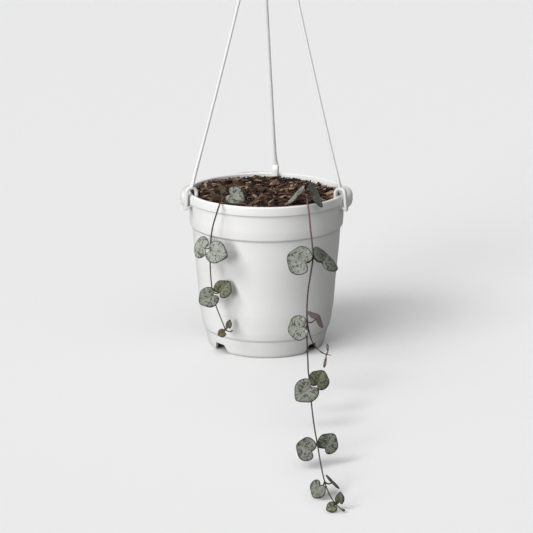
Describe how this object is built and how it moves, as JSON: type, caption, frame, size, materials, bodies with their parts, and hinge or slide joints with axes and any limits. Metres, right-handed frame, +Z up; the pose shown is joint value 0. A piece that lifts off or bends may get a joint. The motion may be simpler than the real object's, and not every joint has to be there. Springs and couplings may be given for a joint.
{
  "type": "potted string of hearts plant",
  "caption": "Trailing string of hearts plant with heart-shaped leaves in a white plastic hanging pot with feet, soil and a three-armed hanger with a top hook.",
  "frame": {"origin": "middle of the footprint of the whole plant, vine included, on the surface it stands on; the pot's axis is at Y = +0.151 m", "axes": "+Z up, the front with the two trailing vines faces -Y, +X to the right seen from the front"},
  "size_m": [0.1521, 0.4543, 0.45],
  "materials": {
    "white_plastic": "white injection-moulded plastic, satin",
    "bark_soil": "loose dark bark and coir chips",
    "heart_leaf": "thick waxy leaf, grey-green with dark blotches and a dark edge",
    "vine_stem": "thin wiry stem, dark purple-brown"
  },
  "bodies": {
    "root": {"hanger_arm_back": "white_plastic", "hanger_arm_left": "white_plastic", "hanger_arm_right": "white_plastic", "hanger_hook": "white_plastic", "leaf_left_1_left": "heart_leaf", "leaf_left_1_right": "heart_leaf", "leaf_left_2_left": "heart_leaf", "leaf_left_2_right": "heart_leaf", "leaf_left_3_left": "heart_leaf", "leaf_left_3_right": "heart_leaf", "leaf_right_1_left": "heart_leaf", "leaf_right_1_right": "heart_leaf", "leaf_right_2_left": "heart_leaf", "leaf_right_2_right": "heart_leaf", "leaf_right_3_left": "heart_leaf", "leaf_right_3_right": "heart_leaf", "leaf_right_4_left": "heart_leaf", "leaf_right_4_right": "heart_leaf", "leaf_right_5_left": "heart_leaf", "leaf_right_5_right": "heart_leaf", "leaf_right_6_left": "heart_leaf", "leaf_right_6_right": "heart_leaf", "leaf_shoot_down": "heart_leaf", "leaf_shoot_up": "heart_leaf", "leaf_soil_left_back": "heart_leaf", "leaf_soil_left_front": "heart_leaf", "leaf_soil_left_side": "heart_leaf", "leaf_soil_right_left": "heart_leaf", "leaf_soil_right_right": "heart_leaf", "pot": "white_plastic", "soil": "bark_soil", "vine_left": "vine_stem", "vine_right": "vine_stem"}
  },
  "joints": []
}
